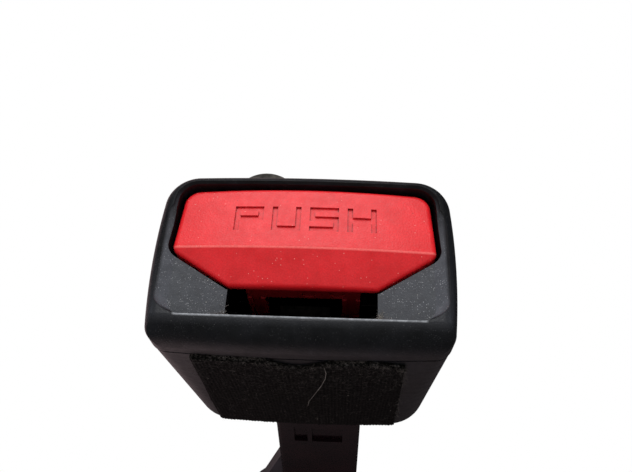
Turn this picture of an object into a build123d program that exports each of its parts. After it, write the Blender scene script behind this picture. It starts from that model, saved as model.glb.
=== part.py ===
from build123d import *
import os
from math import cos, radians, sin, tan

# Seat belt buckle on a rigid steel stalk, in millimetres.
# It is drawn in buckle coordinates: X across, Y from the slot side (minus) to the back, Z up towards
# the end that takes the belt tongue, with Z = 0 at the top of the rim. The finished pieces are then
# moved so that the origin is the centre of the anchor bolt hole.

# Housing
body_width = 52.0
body_depth = 32.9
body_length = 56.0
side_bow = 1.07
face_bow = 0.77
front_corner = 3.2
back_corner = 6.55
smallest_corner = 0.8
wall = 1.8
base_flare = 0.7
base_draft = 4.1
base_shift = -0.75
base_corner = 9.0
base_edge_round = 3.3
floor_thickness = 2.0
parting_y = 1.0
parting_groove_width = 0.5
parting_groove_depth = 0.4

# End cap with the slot and the two sloping cheeks
cap_height = 6.7
cap_overhang = 0.1
cap_edge_round = 2.6
front_roll_radius = 5.0
cap_edge_break = 0.3
seam_groove_height = 0.45
seam_groove_depth = 0.6
cap_plug_length = 3.5
cap_plug_wall = 1.2
cap_plug_clearance = 0.15
rim_inner_break = 0.6
rim_front_share = 0.1444
rim_back_share = 0.0836
slot_lip = 0.9
slot_side_clearance = 1.05
cheek_low_z = -4.15
cheek_high_z = -1.9
cheek_side_margin = 2.9
cheek_corner_round = 3.0
rim_slope_top_z = 0.2
rim_slope_run = 3.2
rim_slope_front_run = 0.45
rim_slope_back_margin = 4.8
rim_slope_back_run = 3.0
rim_slope_corner = 6.0

# Release button
button_side_margin = 2.25
button_back_taper = 0.9
button_back_bow = 0.5
button_front_overlap = 0.05
button_cut_length = 5.6
button_corner_round = 3.0
button_side_round = 1.6
button_gap = 0.75
button_top_z = -0.2
button_crown = 1.1
button_back_fall = 0.6
crease_length = 6.1
bevel_fall = 3.6
button_plate = 2.0
button_edge_round = 1.0
button_rim_bottom_z = -5.4
button_skin = 1.7
button_travel = 4.5
skirt_half_width = 10.4
skirt_setback = 0.35
skirt_wall = 1.6
skirt_bottom_z = -18.0
skirt_window_half = 7.1
skirt_window_top_z = -9.2
skirt_rib_width = 0.8
skirt_rib_depth = 0.35
pin_mark_left_x = 1.0
pin_mark_right_x = 6.2
pin_mark_radius = 1.35
pin_mark_depth = 0.25
word_height = 5.2
word_stroke = 1.0
word_depth = 0.4
word_bar_height = 2.2
word_letter_width = 5.3
word_letter_gap = 1.6
word_setback = 6.1

# Buttons' legs, which carry the lock bar, and its two return springs
leg_clearance = 0.7
leg_width = 2.0
leg_back_wall = 1.6
leg_front_wall = 1.2
leg_bottom_margin = 3.0
button_spring_shift = 0.2
button_spring_share = 0.4314
button_spring_diameter = 4.4
button_spring_wire = 0.6
button_spring_turns = 7
button_spring_bottom_z = -20.0
button_spring_drop = 0.2
button_spring_shelf = 1.5
button_spring_shelf_gap = 0.3
spring_post_length = 4.0
spring_post_clearance = 0.35

# Steel frame
plate_thickness = 2.0
plate_slot_gap = 0.5
frame_side_room = 5.2
frame_top_z = -11.6
frame_floor_gap = 2.3
frame_tail_inset = 5.0
frame_tail_rise = 0.5
frame_tail_taper = 3.0
frame_bend_round = 1.6
flange_thickness = 2.2
flange_top_z = -15.0
flange_pin_margin = 3.8
flange_depth = 13.6
flange_wing_margin = 3.2

# Tongue that the buckle takes, which is not part of it
tongue_share = 0.473
tongue_thickness = 3.0
tongue_back_room = 2.5
tongue_clearance = 0.15

# Ejector
ejector_gap = 0.2
ejector_top_z = -14.0
ejector_spring_length = 17.2
ejector_travel = 12.0
ejector_side_clearance = 0.3
ejector_ramp_length = 4.5
ejector_ramp_depth = 2.2
ejector_lug_half_width = 3.0
ejector_lug_length = 3.0
ejector_peg_length = 2.2
guide_rise = 0.5
guide_overrun = 4.6
ejector_spring_diameter = 5.0
ejector_spring_wire = 0.7
ejector_spring_turns = 5.5
spring_peg_diameter = 2.9
seat_height = 1.3
seat_peg_length = 2.6
seat_hook_depth = 0.8
seat_hook_wall = 0.9

# Latch, drawn in its locked position and swung back to rest
pivot_share = 0.2751
pivot_height = 15.0
pin_diameter = 4.0
pin_clearance = 0.08
pin_head_diameter = 6.0
pin_head_thickness = 0.9
pin_overhang = 2.2
clip_diameter = 6.4
clip_thickness = 0.7
clip_groove = 0.5
clip_gap = 0.35
latch_thickness = 2.5
latch_side_gap = 4.3
latch_barrel_diameter = 6.8
latch_top_margin = 1.5
latch_bay_half_width = 7.0
latch_bay_height = 6.0
nose_half_width = 4.8
nose_bite = 1.6
nose_bottom_z = -20.0
nose_thickness = 3.5
nose_window_clearance = 1.2
hump_half_width = 8.0
hump_share = 0.1003
hump_ramp = 4.0
hump_length = 5.0
hump_lead = 3.0
latch_swing_angle = 15.0
latch_spring_wire = 0.8
latch_spring_turns = 3
latch_spring_pitch = 0.92
latch_spring_gap = 0.25
latch_arm_length = 6.5
latch_bend_gap = 0.05
latch_bend_diameter = 0.9

# Lock bar
bar_gap = 0.3
bar_share = 0.073
bar_height = 3.0
bar_hump_gap = 4.0
bar_lift = 4.5
bar_clearance = 0.28
bar_end_overhang = 0.7

# Stalk: steel strap, its sleeve and the rivets
strap_thickness = 3.0
strap_width = 18.4
strap_offset = 1.8
strap_lap = 8.2
strap_bend_drop = 1.5
strap_lean = 13.0
strap_lean_drop = 44.5
strap_flare_drop = 26.4
strap_flare_angle = 20.0
eye_x = -2.5
eye_drop = 11.2
eye_radius = 15.0
bolt_hole_diameter = 11.5
sleeve_wall = 1.4
sleeve_clearance = 0.05
sleeve_step_drop = 20.2
sleeve_flap_drop = 42.0
sleeve_edge_round = 1.1
sleeve_window_rise = 2.0
sleeve_window_height = 7.0
sleeve_window_depth = 0.9
sleeve_window_margin = 4.4
sleeve_rib_width = 1.2
sleeve_rib_shift = 2.2
sleeve_slot_clearance = 0.3
rivet_diameter = 5.0
rivet_spacing = 10.0
rivet_edge_distance = 3.9
rivet_head_diameter = 6.6
rivet_head_front = 0.8
rivet_head_back = 1.2
rivet_head_round = 0.8
rivet_clearance = 0.02

# Screws, felt patch and rear pad
screw_side_distance = 8.5
screw_height = 6.5
screw_diameter = 3.0
screw_clearance = 0.05
screw_head_diameter = 5.4
screw_head_height = 1.8
screw_head_sink = 0.6
screw_bite = 9.0
screw_tip_gap = 0.5
screw_head_chamfer = 0.45
screw_slot_width = 0.9
screw_slot_depth = 0.9
boss_diameter = 6.2
felt_thickness = 0.9
felt_side_margin = 7.1
felt_shift = -0.4
felt_top_z = -7.5
felt_side_flare = 1.4
felt_notch_half_width = 4.9
felt_notch_depth = 2.4
felt_notch_x = -0.4
felt_right_wear = 4.5
felt_right_drop = 1.9
felt_bottom_gap = 3.7
frame_rib_width = 2.0
frame_rib_x = 13.0
rear_pad_diameter = 12.4
rear_pad_x = -8.7
rear_pad_z = -11.5
rear_pad_stem = 3.0
rear_pad_dome = 3.2
rear_pad_pin_diameter = 4.0
rear_pad_pin_length = 2.8

# Planes and levels that follow from the sizes above
far = 200.0
roll_reach = 1.006
roll_sweep = 4.5
base_width = body_width + base_flare
base_depth = body_depth - base_draft
base_z = -body_length
floor_z = base_z + floor_thickness
seam_z = -cap_height
tongue_width = body_width * tongue_share
cheek_front_y = body_depth * (rim_front_share - 0.5)
cheek_outer_x = body_width / 2 - cheek_side_margin
slot_front_y = cheek_front_y + slot_lip
slot_half_width = tongue_width / 2 + slot_side_clearance
plate_inner_y = slot_front_y + plate_slot_gap
plate_outer_y = plate_inner_y - plate_thickness
button_front_x = slot_half_width + button_front_overlap
button_front_y = plate_inner_y + tongue_thickness + tongue_back_room
button_wide_x = body_width / 2 - button_side_margin
button_wide_y = button_front_y + button_cut_length
button_back_x = button_wide_x - button_back_taper
button_back_y = body_depth * (0.5 - rim_back_share)
crease_y = button_front_y + crease_length
frame_half_width = tongue_width / 2 + frame_side_room
frame_tail_half_width = frame_half_width - frame_tail_inset
frame_bottom_z = base_z + frame_floor_gap
flange_inner_x = frame_half_width - flange_thickness
flange_back_y = plate_inner_y + flange_depth
strap_top_z = frame_bottom_z + strap_lap
frame_tail_z = strap_top_z + frame_tail_rise
rivet_z = frame_bottom_z + rivet_edge_distance
seat_top_z = strap_top_z + seat_height
ejector_front_y = plate_inner_y + ejector_gap
ejector_back_y = ejector_front_y + tongue_thickness
ejector_bottom_z = seat_top_z + ejector_spring_length
spring_axis_y = ejector_front_y + ejector_spring_diameter / 2
guide_inner_x = tongue_width / 2 + tongue_clearance
guide_bottom_z = ejector_bottom_z - ejector_travel - guide_overrun
ejector_half_width = guide_inner_x - ejector_side_clearance
pivot_y = plate_inner_y + body_depth * pivot_share
pivot_z = base_z + pivot_height
flange_bottom_z = pivot_z - flange_pin_margin
latch_half_width = flange_inner_x - latch_side_gap
nose_reach = pivot_y - plate_inner_y + nose_bite
nose_low = nose_bottom_z - pivot_z
nose_high = nose_low + nose_thickness
latch_height = nose_high + latch_top_margin
hump_rise = body_depth * hump_share
hump_shoulder = nose_low - hump_length
hump_low = hump_shoulder - hump_ramp
bar_rest = hump_low - bar_hump_gap
bar_depth = body_depth * bar_share
bar_front_y = pivot_y + latch_thickness / 2 + hump_rise + bar_gap
bar_back_y = bar_front_y + bar_depth
bar_rest_z = pivot_z + bar_rest
bar_top_limit_z = bar_rest_z + bar_height + bar_lift
bar_low_limit_z = bar_rest_z - button_travel
flange_wing_y = bar_back_y + flange_wing_margin
leg_inner_x = frame_half_width + leg_clearance
leg_front_y = bar_front_y - leg_front_wall
leg_back_y = bar_back_y + leg_back_wall
button_spring_x = leg_inner_x + button_spring_shift
button_spring_y = leg_back_y + (body_depth / 2 - cap_overhang - wall - leg_back_y) * button_spring_share
button_spring_top_z = button_rim_bottom_z - button_spring_drop
strap_bend_z = base_z - strap_bend_drop
strap_lean_end_z = strap_bend_z - strap_lean_drop
strap_flare_z = base_z - strap_flare_drop
strap_inner_y = plate_inner_y + strap_thickness
strap_mid_y = plate_inner_y + strap_thickness / 2
eye_y = strap_mid_y - (strap_bend_z - strap_lean_end_z) * tan(radians(strap_lean))
eye_z = strap_lean_end_z - eye_drop
sleeve_half_width = strap_width / 2 + sleeve_wall
sleeve_step_z = base_z - sleeve_step_drop
sleeve_flap_z = base_z - sleeve_flap_drop
screw_x = body_width / 2 - screw_side_distance
screw_z = base_z + screw_height
felt_half_width = body_width / 2 - felt_side_margin


def block(x0, x1, y0, y1, z0, z1):
    """Box between two corners."""
    return Pos((x0 + x1) / 2, (y0 + y1) / 2, (z0 + z1) / 2) * Box(x1 - x0, y1 - y0, z1 - z0)


def rod(diameter, start, end):
    """Round bar from one point to another."""
    axis = Vector(*end) - Vector(*start)
    return extrude(Plane(origin=start, z_dir=axis) * Circle(diameter / 2), axis.length)


def mirrored_pair(piece):
    """A piece and its mirror image across the middle plane."""
    return piece + mirror(piece, Plane.YZ)


def side_profile(points, half_width, centre_x=0.0):
    """Polygon given as (y, z) points, given a width along X."""
    face = make_face(Polyline(*[(0, y, z) for y, z in points], close=True))
    return Pos(centre_x, 0, 0) * extrude(face, half_width, dir=(1, 0, 0), both=True)


def front_profile(points, y0, y1):
    """Polygon given as (x, z) points, given a depth along Y."""
    face = make_face(Polyline(*[(x, y0, z) for x, z in points], close=True))
    return extrude(face, y1 - y0, dir=(0, 1, 0))


def bowed_outline(width, depth, side, face, front_round, back_round, z=0.0, shift=0.0):
    """Rounded rectangle whose four sides bow out a little."""
    w = width / 2
    d = depth / 2
    edges = [
        ThreePointArc((-w, -d), (0, -d - face), (w, -d)),
        ThreePointArc((w, -d), (w + side, 0), (w, d)),
        ThreePointArc((w, d), (0, d + face), (-w, d)),
        ThreePointArc((-w, d), (-w - side, 0), (-w, -d)),
    ]
    outline = make_face(edges)
    outline = fillet(outline.vertices().group_by(Axis.Y)[0], front_round)
    outline = fillet(outline.vertices().group_by(Axis.Y)[-1], back_round)
    return Pos(0, shift, z) * outline


def top_outline(inset, z):
    """Outline of the housing at its top end, moved inwards by inset."""
    return bowed_outline(
        body_width - 2 * inset, body_depth - 2 * inset, side_bow, face_bow,
        max(front_corner - inset, smallest_corner), back_corner - inset, z,
    )


def base_outline(inset, z):
    """Outline of the housing at its lower end, moved inwards by inset."""
    return bowed_outline(
        base_width - 2 * inset, base_depth - 2 * inset, side_bow, face_bow,
        base_corner - inset, base_corner - inset, z, base_shift,
    )


def housing_block(inset, top_z, bottom_z):
    """Solid of the housing below the cap, moved inwards by inset."""
    return loft([base_outline(inset, bottom_z), top_outline(inset + cap_overhang, top_z)], ruled=True)


def moved_corner(before, corner, after, grow):
    """Corner of an anticlockwise outline whose two edges both move outwards by grow."""
    first = (Vector(*corner) - Vector(*before)).normalized()
    second = (Vector(*after) - Vector(*corner)).normalized()
    first_out = Vector(first.Y, -first.X)
    second_out = Vector(second.Y, -second.X)
    return Vector(*corner) + (first_out + second_out) * (grow / (1 + first_out.dot(second_out)))


def button_outline(grow, z):
    """Six-sided outline of the button, moved outwards by grow."""
    right = [
        (button_front_x, button_front_y),
        (button_wide_x, button_wide_y),
        (button_back_x, button_back_y),
    ]
    corners = right + [(-x, y) for x, y in reversed(right)]
    points = [
        moved_corner(corners[place - 1], corners[place], corners[(place + 1) % len(corners)], grow)
        for place in range(len(corners))
    ]
    back_middle = Vector(0, points[2].Y + button_back_bow)
    edges = [
        Line(points[0], points[1]),
        Line(points[1], points[2]),
        ThreePointArc(points[2], back_middle, points[3]),
        Line(points[3], points[4]),
        Line(points[4], points[5]),
        Line(points[5], points[0]),
    ]
    outline = make_face(edges)
    outline = fillet(outline.vertices().group_by(Axis.Y)[-1], button_corner_round + grow)
    side_corners = outline.vertices().filter_by(lambda v: abs(v.Y - points[1].Y) < 0.01)
    outline = fillet(side_corners, max(button_side_round + grow, button_side_round / 4))
    return Pos(0, 0, z) * outline


def crown_face(drop):
    """Upright section of the button at its crease, with the crowned top lowered by drop."""
    reach = button_wide_x + button_corner_round
    edge_z = button_top_z - drop - button_crown * (reach / button_wide_x) ** 2
    bottom_z = edge_z - body_length
    left = (-reach, crease_y, edge_z)
    middle = (0, crease_y, button_top_z - drop)
    right = (reach, crease_y, edge_z)
    edges = [
        ThreePointArc(left, middle, right),
        Polyline(right, (reach, crease_y, bottom_z), (-reach, crease_y, bottom_z), left),
    ]
    return make_face(edges)


def under_button_face(drop):
    """Everything below the button's crowned face and its bevel, both lowered by drop."""
    section = crown_face(drop).face()
    back_run = body_depth
    front_run = body_depth
    back_slope = button_back_fall / (button_back_y - crease_y)
    front_slope = bevel_fall / (crease_y - button_front_y)
    main = Solid.extrude(section, Vector(0, back_run, -back_run * back_slope))
    bevel = Solid.extrude(section, Vector(0, -front_run, -front_run * front_slope))
    return Part() + main + bevel


def letter_bars(letter):
    """Strokes of a plain block letter as (x0, x1, y0, y1), in millimetres."""
    w = word_letter_width
    h = word_height
    t = word_stroke
    middle = word_bar_height
    left = (0, t, 0, h)
    right = (w - t, w, 0, h)
    top = (0, w, h - t, h)
    bottom = (0, w, 0, t)
    bar = (0, w, middle, middle + t)
    if letter == "P":
        return [left, top, bar, (w - t, w, middle, h)]
    if letter == "U":
        return [left, right, bottom]
    if letter == "S":
        return [top, bar, bottom, (0, t, middle, h), (w - t, w, 0, middle + t)]
    return [left, right, bar]


def word_prism(word):
    """Upright prism of a word, centred across the button."""
    pitch = word_letter_width + word_letter_gap
    start = -(len(word) * pitch - word_letter_gap) / 2
    bottom_y = crease_y + word_setback - word_height / 2
    prism = Part()
    for place, letter in enumerate(word):
        for x0, x1, y0, y1 in letter_bars(letter):
            prism += block(start + place * pitch + x0, start + place * pitch + x1,
                           bottom_y + y0, bottom_y + y1, seam_z, 1.0)
    return prism


def coil(radius, wire, turns, height):
    """Open coil of round wire about Z, starting on the X axis."""
    path = Helix(pitch=height / turns, height=height, radius=radius)
    section = Plane(origin=path @ 0, z_dir=path % 0) * Circle(wire / 2)
    return sweep(section, path=path, is_frenet=True)


def upright_spring(x, y, bottom_z, top_z, diameter, wire, turns):
    """Compression spring standing between two levels."""
    body = coil((diameter - wire) / 2, wire, turns, top_z - bottom_z - wire)
    return Pos(x, y, bottom_z + wire / 2) * body


def button_post(x):
    """Post under the button that centres a return spring."""
    y = button_spring_y
    collar = rod(button_spring_diameter, (x, y, button_spring_top_z), (x, y, button_top_z))
    collar = collar & under_button_face(button_plate / 2)
    peg_diameter = button_spring_diameter - 2 * button_spring_wire - spring_post_clearance
    peg_end = button_spring_top_z - spring_post_length
    return collar + rod(peg_diameter, (x, y, peg_end), (x, y, button_spring_top_z))


def button_leg():
    """Right-hand leg with the slot that carries the end of the lock bar."""
    outer_x = leg_inner_x + leg_width
    bottom_z = bar_rest_z - leg_bottom_margin
    leg = block(leg_inner_x, outer_x, leg_front_y, leg_back_y, bottom_z, button_top_z)
    leg = leg & under_button_face(button_plate / 2)
    slot = block(leg_inner_x - 1, outer_x + 1, bar_front_y - bar_clearance, bar_back_y + bar_clearance,
                 bar_rest_z - bar_clearance, bar_top_limit_z + bar_clearance)
    return leg - slot


def make_release_button():
    """Red button: crowned face, bevel down to the slot, front skirt, legs and spring posts."""
    height = button_top_z - button_rim_bottom_z + 1
    prism = extrude(button_outline(0, button_rim_bottom_z), height)
    button = prism & under_button_face(0)
    upright = button.edges().filter_by(Axis.Z)
    lowest_face_z = button_top_z - bevel_fall - button_crown
    rounded = [e for e in button.edges() if e.center().Z > lowest_face_z and e not in upright]
    rounded += upright.group_by(Axis.Y)[0]
    button = fillet(rounded, button_edge_round)
    cavity = extrude(button_outline(-button_skin, button_rim_bottom_z - 1), height + 1)
    button -= cavity & under_button_face(button_plate)
    front = button_front_y + skirt_setback
    skirt = block(-skirt_half_width, skirt_half_width, front, front + skirt_wall,
                  skirt_bottom_z, button_top_z)
    button += skirt & under_button_face(button_plate / 2)
    window_reach = skirt_wall + 1
    button -= block(-skirt_window_half, skirt_window_half, front - 1, front + window_reach,
                    skirt_bottom_z - 1, skirt_window_top_z)
    for rib_x in (skirt_window_half, skirt_half_width - skirt_rib_width):
        rib = block(rib_x, rib_x + skirt_rib_width, front - skirt_rib_depth, front + skirt_wall / 2,
                    skirt_bottom_z, skirt_window_top_z)
        button += mirrored_pair(rib)
    for x in (pin_mark_left_x, pin_mark_right_x):
        z = (skirt_window_top_z + button_rim_bottom_z) / 2
        button -= rod(2 * pin_mark_radius, (x, front - 1, z), (x, front + pin_mark_depth, z))
    button += mirrored_pair(button_leg())
    button += mirrored_pair(button_post(button_spring_x))
    engraving = word_prism("PUSH") - under_button_face(word_depth)
    return button - engraving


def make_button_springs():
    """Two return springs between the button and the back shell's shelves."""
    spring = upright_spring(button_spring_x, button_spring_y, button_spring_bottom_z, button_spring_top_z,
                            button_spring_diameter, button_spring_wire, button_spring_turns)
    return mirrored_pair(spring)


def make_bezel_cap():
    """End cap: rounded rim, button pocket, sloping cheeks and the slot for the tongue."""
    cap = extrude(top_outline(0, seam_z), cap_height)
    cap = fillet(cap.edges().group_by(Axis.Z)[-1], cap_edge_round)
    cap = chamfer(cap.edges().group_by(Axis.Z)[0], cap_edge_break)
    cap -= space_round_front_roll()
    plug_inset = cap_overhang + wall + cap_plug_clearance
    plug_bottom = seam_z - cap_plug_length
    plug = extrude(top_outline(plug_inset, plug_bottom), cap_plug_length)
    plug -= extrude(top_outline(plug_inset + cap_plug_wall, plug_bottom), cap_plug_length)
    cap += plug & block(-far, far, -far, cheek_front_y + cap_plug_length, plug_bottom, seam_z)
    above_cheeks = front_profile(
        [(-far, cheek_high_z), (-cheek_outer_x, cheek_high_z), (-slot_half_width, cheek_low_z),
         (slot_half_width, cheek_low_z), (cheek_outer_x, cheek_high_z), (far, cheek_high_z),
         (far, far), (-far, far)],
        -far, far,
    )
    cap -= extrude(cheek_opening(0, 0, 0, cheek_corner_round, cheek_low_z - 1), far) & above_cheeks
    cap -= rim_slope()
    cap -= extrude(button_outline(button_gap, plug_bottom - 1), far)
    cap -= block(-slot_half_width, slot_half_width, slot_front_y, button_wide_y, plug_bottom - 1, 1.0)
    pocket_edge = button_outline(button_gap, -rim_inner_break)
    cap -= loft([pocket_edge, button_outline(button_gap + rim_inner_break, 0)], ruled=True)
    return cap


def space_round_front_roll():
    """Space outside the large round of the rim's front edge, which follows the front's bow."""
    radius = front_roll_radius
    bow_radius = ((body_width / 2) ** 2 + face_bow ** 2) / (2 * face_bow)
    front_y = -body_depth / 2 - face_bow
    reach = radius * roll_reach
    half_reach = reach * cos(radians(45))
    centre = (0, front_y + radius, -radius)
    low = (0, centre[1] - reach, centre[2])
    middle = (0, centre[1] - half_reach, centre[2] + half_reach)
    high = (0, centre[1], centre[2] + reach)
    outside = Polyline(high, (0, high[1], radius), (0, front_y - radius, radius),
                       (0, front_y - radius, low[2]), low)
    face = make_face([ThreePointArc(low, middle, high), outside])
    bow_axis = Axis((0, front_y + bow_radius, 0), (0, 0, 1))
    space = revolve(face, bow_axis, 2 * roll_sweep)
    return space.rotate(bow_axis, -roll_sweep)


def cheek_opening(side, front, back, corner, z):
    """Outline of the opening over the cheeks, slot and button, widened at its side, front and back."""
    x = cheek_outer_x + side
    y = cheek_front_y - front
    back_y = button_back_y - rim_slope_back_margin + back
    face = make_face(Polyline((-x, y), (x, y), (x, back_y), (-x, back_y), close=True))
    face = fillet(face.vertices(), corner)
    return Pos(0, 0, z) * face


def rim_slope():
    """Space above the sloping inner side of the rim, in front of the cheeks and along both sides."""
    low = cheek_opening(0, 0, 0, cheek_corner_round, cheek_high_z)
    high = cheek_opening(rim_slope_run, rim_slope_front_run, rim_slope_back_run, rim_slope_corner,
                         rim_slope_top_z)
    return loft([low, high], ruled=True)


def shell_walls():
    """Hollow housing below the cap, with its floor, before it is parted."""
    outer = housing_block(0, seam_z, base_z)
    outer = fillet(outer.edges().group_by(Axis.Z)[0], base_edge_round)
    inner = loft([base_outline(wall, floor_z), top_outline(wall + cap_overhang, seam_z)], ruled=True)
    shell = outer - inner
    groove = housing_block(-1, seam_z, base_z) - housing_block(parting_groove_depth, seam_z, base_z)
    half_groove = parting_groove_width / 2
    band = block(-far, far, parting_y - half_groove, parting_y + half_groove, base_z - 1, seam_z + 1)
    shell -= groove & band
    seam_groove = housing_block(-1, seam_z, base_z) - housing_block(seam_groove_depth, seam_z, base_z)
    shell -= seam_groove & block(-far, far, -far, far, seam_z - seam_groove_height, seam_z + 1)
    slot_x = sleeve_half_width + sleeve_slot_clearance
    slot_y0 = strap_mid_y - strap_thickness / 2 - sleeve_wall - sleeve_slot_clearance
    slot_y1 = strap_mid_y + strap_thickness / 2 + sleeve_wall + sleeve_slot_clearance
    shell -= block(strap_offset - slot_x, strap_offset + slot_x, slot_y0, slot_y1, base_z - 1, floor_z + 1)
    return shell


def boss(y0, y1):
    """Pair of round bosses for the shell screws."""
    return mirrored_pair(rod(boss_diameter, (screw_x, y0, screw_z), (screw_x, y1, screw_z)))


def screw_holes(y0, y1, diameter):
    """Pair of holes on the screws' axes."""
    return mirrored_pair(rod(diameter, (screw_x, y0, screw_z), (screw_x, y1, screw_z)))


def make_front_shell():
    """Front half of the housing, with the ribs that the frame lies against and two screw bosses."""
    half = shell_walls() & block(-far, far, -far, parting_y, -far, far)
    inside = housing_block(wall / 2, seam_z, base_z)
    ribs = mirrored_pair(block(frame_rib_x, frame_rib_x + frame_rib_width, -far, plate_outer_y,
                               frame_tail_z, flange_top_z))
    half += ribs & inside
    half += boss(-body_depth, parting_y) & inside
    half -= screw_holes(parting_y - screw_bite, parting_y + 1, screw_diameter + 2 * screw_clearance)
    return half


def screw_head_y():
    """Plane under the screw heads, sunk into the back shell."""
    share = (seam_z - screw_z) / (seam_z - base_z)
    top_y = body_depth / 2 - cap_overhang
    bottom_y = base_depth / 2 + base_shift
    return top_y + share * (bottom_y - top_y) - screw_head_height - screw_head_sink


def make_back_shell():
    """Back half of the housing, with spring shelves, screw bosses and the hole for the rear pad."""
    half = shell_walls() & block(-far, far, parting_y, far, -far, far)
    inside = housing_block(wall / 2, seam_z, base_z)
    shelf_x = button_spring_x - button_spring_diameter / 2 - button_spring_shelf_gap
    shelf = block(shelf_x, far, flange_wing_y + button_spring_shelf_gap, far,
                  button_spring_bottom_z - button_spring_shelf, button_spring_bottom_z)
    half += mirrored_pair(shelf) & inside
    half += boss(parting_y, body_depth) & inside
    half -= screw_holes(parting_y - 1, far, screw_diameter + 2 * screw_clearance)
    half -= screw_holes(screw_head_y(), far, screw_head_diameter + 4 * screw_clearance)
    pin_hole = rear_pad_pin_diameter + 2 * screw_clearance
    half -= rod(pin_hole, (rear_pad_x, parting_y + 1, rear_pad_z), (rear_pad_x, far, rear_pad_z))
    return half


def make_shell_screws():
    """Two slotted screws that hold the shells together."""
    head_y = screw_head_y()
    top_y = head_y + screw_head_height
    tip_y = parting_y - screw_bite + screw_tip_gap
    screw = rod(screw_diameter, (screw_x, tip_y, screw_z), (screw_x, head_y, screw_z))
    head = rod(screw_head_diameter, (screw_x, head_y, screw_z), (screw_x, top_y, screw_z))
    head = chamfer(head.edges().group_by(Axis.Y)[-1], screw_head_chamfer)
    slot = block(screw_x - far, screw_x + far, top_y - screw_slot_depth, top_y + 1,
                 screw_z - screw_slot_width / 2, screw_z + screw_slot_width / 2)
    return mirrored_pair(screw + head - slot)


def make_felt_patch():
    """Felt stuck on the front wall, with a worn upper edge that dips in the middle."""
    layer = housing_block(-felt_thickness, seam_z, base_z) - housing_block(0, seam_z, base_z)
    top = felt_top_z
    low = base_z + felt_bottom_gap
    left = felt_shift - felt_half_width
    right = felt_shift + felt_half_width
    corner = (right, 0, top - felt_right_drop)
    worn_edge = [
        (left, 0, top),
        (felt_notch_x - felt_notch_half_width, 0, top),
        (felt_notch_x, 0, top - felt_notch_depth),
        (felt_notch_x + felt_notch_half_width, 0, top),
        (right - felt_right_wear, 0, top),
        corner,
    ]
    edge = [
        Line((left - felt_side_flare, 0, low), (left, 0, top)),
        Spline(worn_edge),
        Line(corner, (right + felt_side_flare, 0, low)),
        Line((right + felt_side_flare, 0, low), (left - felt_side_flare, 0, low)),
    ]
    outline = extrude(make_face(edge), far, dir=(0, -1, 0))
    return layer & outline


def make_rear_pad():
    """Domed rubber pad that stands off the back wall, with its fixing pin."""
    back_y = body_depth / 2 + face_bow
    stem_end_y = back_y + rear_pad_stem
    end_y = stem_end_y + rear_pad_dome
    radius = rear_pad_diameter / 2
    ball_radius = (radius ** 2 + rear_pad_dome ** 2) / (2 * rear_pad_dome)
    stem = rod(rear_pad_diameter, (rear_pad_x, parting_y + wall, rear_pad_z),
               (rear_pad_x, stem_end_y, rear_pad_z))
    ball = Pos(rear_pad_x, end_y - ball_radius, rear_pad_z) * Sphere(ball_radius)
    dome = ball & block(-far, far, stem_end_y, far, -far, far)
    pin = rod(rear_pad_pin_diameter, (rear_pad_x, back_y - rear_pad_pin_length, rear_pad_z),
              (rear_pad_x, back_y, rear_pad_z))
    housing = housing_block(0, seam_z, base_z) + extrude(top_outline(0, seam_z), cap_height)
    return stem - housing + dome + pin


def make_buckle_frame():
    """Stamped steel channel: base plate with the latch window, two flanges and their wings."""
    tail_z = frame_tail_z - frame_tail_taper
    plate = front_profile(
        [(-frame_half_width, frame_top_z), (frame_half_width, frame_top_z), (frame_half_width, frame_tail_z),
         (frame_tail_half_width, tail_z), (frame_tail_half_width, frame_bottom_z),
         (-frame_tail_half_width, frame_bottom_z), (-frame_tail_half_width, tail_z),
         (-frame_half_width, frame_tail_z)],
        plate_outer_y, plate_inner_y,
    )
    wing_low = bar_low_limit_z - bar_clearance - flange_wing_margin
    wing_high = bar_top_limit_z + bar_clearance + flange_wing_margin
    middle = (flange_inner_x + frame_half_width) / 2
    flange = side_profile(
        [(plate_outer_y, flange_bottom_z), (flange_back_y, flange_bottom_z), (flange_wing_y, wing_low),
         (flange_wing_y, wing_high), (flange_back_y, flange_top_z), (plate_outer_y, flange_top_z)],
        flange_thickness / 2, middle,
    )
    flange -= block(-far, far, bar_front_y - bar_clearance, bar_back_y + bar_clearance,
                    bar_low_limit_z - bar_clearance, bar_top_limit_z + bar_clearance)
    frame = plate + mirrored_pair(flange)
    bends = [
        e for e in frame.edges().filter_by(Axis.Z)
        if abs(abs(e.center().X) - frame_half_width) < 0.01 and abs(e.center().Y - plate_outer_y) < 0.01
    ]
    frame = fillet(bends, frame_bend_round)
    window_half = nose_half_width + nose_window_clearance
    frame -= block(-window_half, window_half, -far, 0, pivot_z + nose_low - nose_window_clearance,
                   pivot_z + nose_high + nose_window_clearance)
    frame -= rod(pin_diameter + 2 * pin_clearance, (-far, pivot_y, pivot_z), (far, pivot_y, pivot_z))
    for x in rivet_places():
        frame -= rod(rivet_diameter + 2 * rivet_clearance, (x, -far, rivet_z), (x, far, rivet_z))
    return frame


def rivet_places():
    """X of the two rivets that join the strap to the frame."""
    return [strap_offset - rivet_spacing / 2, strap_offset + rivet_spacing / 2]


def make_frame_rivets():
    """Two rivets through the frame and the strap, headed on both sides."""
    rivets = Part()
    for x in rivet_places():
        front_y = plate_outer_y - rivet_head_front
        back_y = strap_inner_y + rivet_head_back
        rivet = rod(rivet_diameter, (x, plate_outer_y, rivet_z), (x, strap_inner_y, rivet_z))
        front = rod(rivet_head_diameter, (x, front_y, rivet_z), (x, plate_outer_y, rivet_z))
        back = rod(rivet_head_diameter, (x, strap_inner_y, rivet_z), (x, back_y, rivet_z))
        back = fillet(back.edges().group_by(Axis.Y)[-1], rivet_head_round)
        rivets += rivet + front + back
    return rivets


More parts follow.
